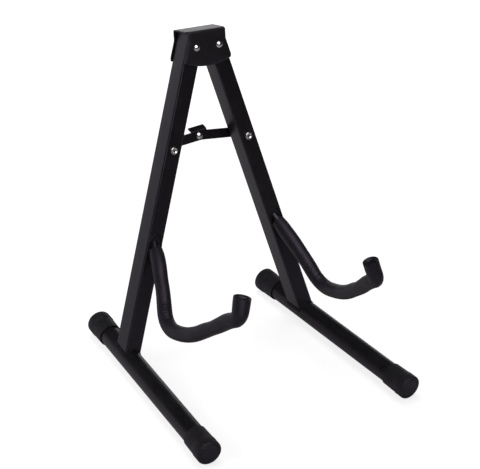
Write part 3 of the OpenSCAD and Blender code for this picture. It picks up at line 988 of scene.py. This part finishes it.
def rivet(name, node, place, body, pin, tail, head):
    """tail and head are (seat height, profile) or, without a profile, a flat end."""
    low, tail_form = tail
    high, head_form = head
    profile = [(r, low - h) for r, h in reversed(tail_form)] if tail_form else [(0, low)]
    profile += [(pin, low), (pin, high)]
    profile += [(r, high + h) for r, h in head_form] if head_form else [(0, high)]
    made = turned(name, profile, place @ TO_FRONT, nickel, body, 64)
    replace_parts(made, node)


hinge_up = (head_frame.inverted() @ hinge).z
hinge_place = head_frame @ Matrix.Translation((0, 0, hinge_up))
for side in (LEFT, RIGHT):
    way = NAMES[side]
    rivet(
        f"head_rivet_turned_{way}", f"head_rivet_{way}",
        head_frame @ Matrix.Translation((side * abs(pivot.x), 0, 0)), "head", HEAD_PIN,
        (-CHANNEL_OUT, dome(HEAD_DOME, TAIL_HEIGHT)),
        (COVER_FACE, dome(HEAD_DOME, DOME_HEIGHT)),
    )

brace_places = {
    side: leg_frame(side) @ Matrix.Translation((0, 0, -BRACE_DROP)) for side in (LEFT, RIGHT)
}
link_tail = -(LINK_FRONT + LINK_THICK + LAYER_GAP / 2)
rivet(
    "brace_rivet_turned_left", "brace_rivet_left", brace_places[LEFT], "left_leg", BRACE_PIN,
    (link_tail, dome(BRACE_DOME, TAIL_HEIGHT)), (LEG_HALF, rolled(BRACE_DOME)),
)
rivet(
    "brace_rivet_turned_right", "brace_rivet_right", brace_places[RIGHT], "right_leg", BRACE_PIN,
    (-(LINK_BACK - OPEN_GAP), None), (LEG_HALF, rolled(BRACE_DOME)),
)
rivet(
    "brace_rivet_turned_tail", "brace_rivet_tail", brace_places[RIGHT], "right_link", BRACE_PIN,
    (-(LINK_BACK + LINK_THICK), dome(BRACE_DOME, TAIL_HEIGHT)), (-LINK_BACK, None),
)
rivet(
    "brace_hinge_turned", "brace_hinge_rivet", hinge_place, "left_link", BRACE_PIN,
    (-(LINK_BACK + LINK_THICK + LAYER_GAP / 2), dome(BRACE_DOME, TAIL_HEIGHT)),
    (-LINK_FRONT, dome(BRACE_DOME, DOME_HEIGHT)),
)
print("six rivets")

# %% [markdown]
# ## CAD nodes that stay
#
# The rest keeps its CAD mesh, because its shape is right. That mesh is loose triangles, so
# a small node tree joins them, shades them smoothly and keeps an edge sharp where its faces
# turn by more than an angle. The turned rivets use the same tree for the edges of their
# flanges.


# %% Smooth by angle
def smooth_tree():
    tree = bpy.data.node_groups.new("smooth_by_angle", "GeometryNodeTree")
    face = tree.interface
    face.new_socket("Mesh", in_out="INPUT", socket_type="NodeSocketGeometry")
    face.new_socket("Angle", in_out="INPUT", socket_type="NodeSocketFloat")
    face.new_socket("Geometry", in_out="OUTPUT", socket_type="NodeSocketGeometry")
    node, link = tree.nodes.new, tree.links.new
    given, result = node("NodeGroupInput"), node("NodeGroupOutput")
    join = node("GeometryNodeMergeByDistance")
    join.inputs["Distance"].default_value = 0.000001
    angle = node("GeometryNodeInputMeshEdgeAngle")
    over = node("FunctionNodeCompare")
    over.operation = "GREATER_THAN"
    all_smooth = node("GeometryNodeSetShadeSmooth")
    sharp = node("GeometryNodeSetShadeSmooth")
    sharp.domain = "EDGE"
    sharp.inputs["Shade Smooth"].default_value = False
    link(given.outputs["Mesh"], join.inputs["Geometry"])
    link(join.outputs["Geometry"], all_smooth.inputs[0])
    link(all_smooth.outputs[0], sharp.inputs[0])
    link(angle.outputs["Unsigned Angle"], over.inputs[0])
    link(given.outputs["Angle"], over.inputs[1])
    link(over.outputs["Result"], sharp.inputs["Selection"])
    link(sharp.outputs[0], result.inputs[0])
    return tree


SMOOTH = smooth_tree()
ANGLE = next(s.identifier for s in SMOOTH.interface.items_tree if s.name == "Angle")


def smooth_by_angle(thing, degrees=32):
    modifier = thing.modifiers.new("smooth", "NODES")
    modifier.node_group = SMOOTH
    modifier[ANGLE] = math.radians(degrees)


# %% Finishes of the CAD nodes
SHOWN = {
    "leg_": tube_paint, "foot_tube_": tube_paint, "head_channel": tube_paint,
    "brace_link_": tube_paint, "arm_rod_": tube_paint, "arm_weld_": weld_paint,
    "foot_weld_": weld_paint, "head_cover": cover_paint, "cap_": cap_rubber,
    "arm_sleeve_": sleeve_foam, "head_rivet_": nickel, "brace_rivet_": nickel,
    "brace_hinge_": nickel, "brace_washer": nickel, "brace_spacer": nickel,
}

for name, node in nodes.items():
    material = next(m for key, m in SHOWN.items() if name.startswith(key))
    node.data.materials.clear()
    node.data.materials.append(material)
    smooth_by_angle(node)
    print(name, len(node.data.polygons), material.name)
for thing in bpy.context.scene.objects:
    if "_turned" in thing.name:
        smooth_by_angle(thing, 40)

# %% [markdown]
# ## Floor and light
#
# The photograph has a pure white ground and a nearly black stand, which one plain set-up does
# not give. So light is shared out by the kind of ray. The camera sees the floor and the world as
# white. Matt surfaces are lit by two lamps and a dim room. What the gloss mirrors is a dim glow
# of the floor, brighter behind the stand than in front, and the world: a bright sweep low at the
# back, a softer band at the left and a small patch high in front, which puts the sparks on the
# rivets.


# %% Floor and world
SOFT_STEP = {"interpolation_type": "SMOOTHSTEP"}
# Glow of the floor that only the gloss mirrors, in front of the stand and behind it
FRONT_FLOOR, BACK_FLOOR = 0.03, 0.10
FLOOR_HALF = 3.0
# Strengths of the dim room, the left band, the sweep, the small patch and what is left
ROOM, SIDE, HORIZON, SPARK, REST = 0.10, 0.85, 1.45, 2.6, 0.02


def ray_kinds(tree):
    """1 for rays that the picture shows directly, and 1 for those that gloss mirrors."""
    path = tree.nodes.new("ShaderNodeLightPath")
    direct = Wire(tree, path.outputs["Is Camera Ray"])
    passed = Wire(tree, path.outputs["Is Transmission Ray"])
    return direct + passed, Wire(tree, path.outputs["Is Glossy Ray"])


def white_ground(name, glow, white):
    """A matt white floor with a glow that the camera sees, full in the distance, and a dim glow
    that only the gloss mirrors, brighter behind the stand.
    """
    material = bpy.data.materials.new(name)
    material.use_nodes = True
    tree = material.node_tree
    tree.nodes.clear()
    seen, mirrored = ray_kinds(tree)
    place = tree.nodes.new("ShaderNodeTexCoord").outputs["Object"]
    apart = add_node(tree, "ShaderNodeSeparateXYZ", None, Wire(tree, place))
    depth = Wire(tree, apart.socket.node.outputs["Y"])
    behind = add_node(tree, "ShaderNodeMapRange", SOFT_STEP, depth, -0.9, 0.5)
    length = add_node(tree, "ShaderNodeVectorMath", {"operation": "LENGTH"}, Wire(tree, place))
    reach = Wire(tree, length.socket.node.outputs["Value"])
    far = add_node(tree, "ShaderNodeMapRange", SOFT_STEP, reach, 0.4, 1.3)
    lit = add_node(tree, "ShaderNodeBsdfDiffuse", None, (white, white, white, 1))
    amount = seen * (far * (1 - glow) + glow) + mirrored * (behind * BACK_FLOOR + FRONT_FLOOR)
    light = add_node(tree, "ShaderNodeEmission", None, (1, 1, 1, 1), amount)
    both = add_node(tree, "ShaderNodeAddShader", None, lit, light)
    out = tree.nodes.new("ShaderNodeOutputMaterial")
    tree.links.new(both.socket, out.inputs["Surface"])
    return material


floor_mesh = bpy.data.meshes.new("floor")
floor_mesh.from_pydata(
    [(-FLOOR_HALF, -FLOOR_HALF, 0), (FLOOR_HALF, -FLOOR_HALF, 0),
     (FLOOR_HALF, FLOOR_HALF, 0), (-FLOOR_HALF, FLOOR_HALF, 0)], [], [(0, 1, 2, 3)],
)
floor = bpy.data.objects.new("floor", floor_mesh)
bpy.context.scene.collection.objects.link(floor)
floor.data.materials.append(white_ground("floor_white", 0.80, 0.7))


def toward(tree, way, direction, start, full):
    """From 0 to 1 as the ray turns towards a direction."""
    dot = tree.nodes.new("ShaderNodeVectorMath")
    dot.operation = "DOT_PRODUCT"
    tree.links.new(way.socket, dot.inputs[0])
    dot.inputs[1].default_value = Vector(direction).normalized()
    turned_to = Wire(tree, dot.outputs["Value"])
    return add_node(tree, "ShaderNodeMapRange", SOFT_STEP, turned_to, start, full)


world = bpy.data.worlds.new("studio")
world.use_nodes = True
bpy.context.scene.world = world
sky = world.node_tree
way = Wire(sky, sky.nodes.new("ShaderNodeTexCoord").outputs["Generated"])
seen, mirrored = ray_kinds(sky)
behind = toward(sky, way, (0.5, 0.86, 0), 0.5, 0.95)
low = 1 - toward(sky, way, (0, 0, 1), 0.06, 0.24)
left = toward(sky, way, (-0.62, 0.78, 0.0), 0.86, 0.98)
flat = 1 - toward(sky, way, (0, 0, 1), 0.0, 0.14)
spark = toward(sky, way, (-0.16, -0.66, 0.72), 0.84, 0.90)
sweep = behind * low * HORIZON + left * flat * SIDE + spark * SPARK + REST
strength = (1 - seen) * ((1 - mirrored) * ROOM + mirrored * sweep) + seen
back = sky.nodes["Background"]
sky.links.new(strength.socket, back.inputs["Strength"])
back.inputs["Color"].default_value = (1, 1, 1, 1)


# %% Lamps
AIM = (0, 0, 0.2)


def lamp(name, place, size, power):
    """A square soft lamp aimed at the stand and hidden from what the gloss mirrors."""
    light = bpy.data.lights.new(name, "AREA")
    light.shape = "SQUARE"
    light.size = size
    light.energy = power
    thing = bpy.data.objects.new(name, light)
    thing.location = place
    ray = Vector(AIM) - Vector(place)
    thing.rotation_mode = "QUATERNION"
    thing.rotation_quaternion = ray.to_track_quat("-Z", "Y")
    thing.visible_glossy = False
    bpy.context.scene.collection.objects.link(thing)


lamp("key", (-2.3, 0.4, 1.2), size=1.4, power=13)
lamp("top", (0.2, 0.8, 2.4), size=1.6, power=16)
